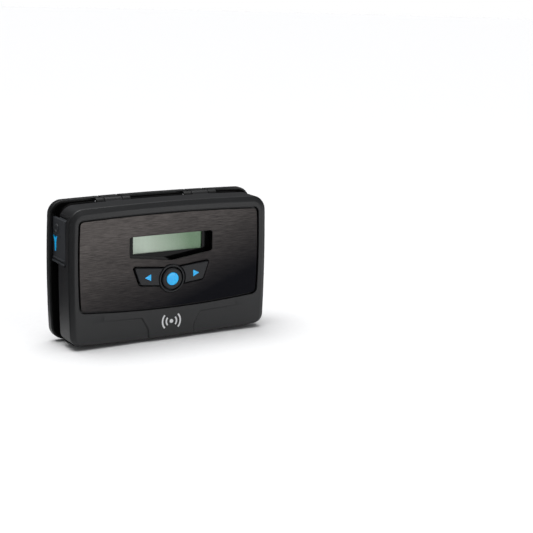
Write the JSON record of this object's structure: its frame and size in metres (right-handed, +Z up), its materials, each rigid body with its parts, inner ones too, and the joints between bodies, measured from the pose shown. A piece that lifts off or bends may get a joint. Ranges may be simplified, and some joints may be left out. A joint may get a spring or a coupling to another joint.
{
  "type": "wireless pager",
  "caption": "Flat black pager with a small display and three keys in a brushed face plate, on a case hinged to a rear tray with side latches.",
  "frame": {"origin": "middle of the footprint, on the surface that the feet stand on", "axes": "+Z up, +X towards the viewer's right along the longest side, the display and keys face -Y"},
  "size_m": [0.1388, 0.033, 0.0882],
  "materials": {
    "case_plastic": "fine satin moulded texture",
    "tray_plastic": "satin moulded texture",
    "face_metal": "black anodised, brushed along its width",
    "gloss_black": "polished",
    "key_plastic": "satin",
    "azure_plastic": "translucent azure, satin",
    "seal_rubber": "dull moulded rubber",
    "foot_rubber": "dull moulded rubber",
    "pin_steel": "ground steel",
    "lcd_cell": "pale grey-green reflective liquid crystal cell",
    "backlight": "white light guide",
    "board_laminate": "green solder mask",
    "chip_epoxy": "dull epoxy",
    "tin_plate": "bright tinned sheet",
    "cell_wrap": "shrink film"
  },
  "bodies": {
    "tray": {"rear_tray": "tray_plastic", "case_seal_left": "seal_rubber", "case_seal_top": "seal_rubber", "case_seal_right": "seal_rubber", "hinge_pin_left": "pin_steel", "hinge_pin_right": "pin_steel", "foot_front_left": "foot_rubber", "foot_front_right": "foot_rubber", "foot_rear_left": "foot_rubber", "foot_rear_right": "foot_rubber"},
    "case": {"front_cover": "case_plastic", "face_plate": "face_metal", "display_surround": "gloss_black", "lcd_frame": "gloss_black", "lcd_cell": "lcd_cell", "lcd_backlight": "backlight", "display_header": "chip_epoxy", "switch_left": "chip_epoxy", "switch_right": "chip_epoxy", "select_collar": "key_plastic", "switch_select": "chip_epoxy", "main_board": "board_laminate", "board_screw_1": "pin_steel", "board_screw_2": "pin_steel", "board_screw_3": "pin_steel", "board_screw_4": "pin_steel", "controller_chip": "chip_epoxy", "radio_can": "tin_plate", "crystal": "tin_plate", "antenna": "seal_rubber", "sounder": "chip_epoxy", "battery_holder": "chip_epoxy", "battery_pack": "cell_wrap", "capacitor_1": "tin_plate", "capacitor_2": "tin_plate", "capacitor_3": "tin_plate", "latch_pin_left": "pin_steel", "latch_pin_right": "pin_steel", "latch_spring_left": "pin_steel", "latch_spring_right": "pin_steel"},
    "left_key": {"key_left": "key_plastic", "key_mark_left": "azure_plastic"},
    "right_key": {"key_right": "key_plastic", "key_mark_right": "azure_plastic"},
    "select_key": {"select_cap": "key_plastic", "select_disc": "azure_plastic"},
    "left_latch": {"side_latch_left": "case_plastic", "latch_arrow_left": "azure_plastic"},
    "right_latch": {"side_latch_right": "case_plastic", "latch_arrow_right": "azure_plastic"}
  },
  "joints": [
    {"name": "case_hinge", "type": "hinge", "parent": "tray", "child": "case", "pos_m": [0, 0.0071, 0.0855], "axis": [-1, 0, 0], "range_deg": [0, 95]},
    {"name": "left_key_press", "type": "slide", "parent": "case", "child": "left_key", "axis": [0, 1, 0], "range_m": [0, 0.0007], "stiffness_N_per_m": 1200, "springref_m": -0.0005},
    {"name": "right_key_press", "type": "slide", "parent": "case", "child": "right_key", "axis": [0, 1, 0], "range_m": [0, 0.0007], "stiffness_N_per_m": 1200, "springref_m": -0.0005},
    {"name": "select_key_press", "type": "slide", "parent": "case", "child": "select_key", "axis": [0, 1, 0], "range_m": [0, 0.0007], "stiffness_N_per_m": 1200, "springref_m": -0.0005},
    {"name": "left_latch_lift", "type": "hinge", "parent": "case", "child": "left_latch", "pos_m": [-0.0646, 0, 0.0777], "axis": [0, 1, 0], "range_deg": [0, 45]},
    {"name": "right_latch_lift", "type": "hinge", "parent": "case", "child": "right_latch", "pos_m": [0.0646, 0, 0.0777], "axis": [0, -1, 0], "range_deg": [0, 45]}
  ]
}
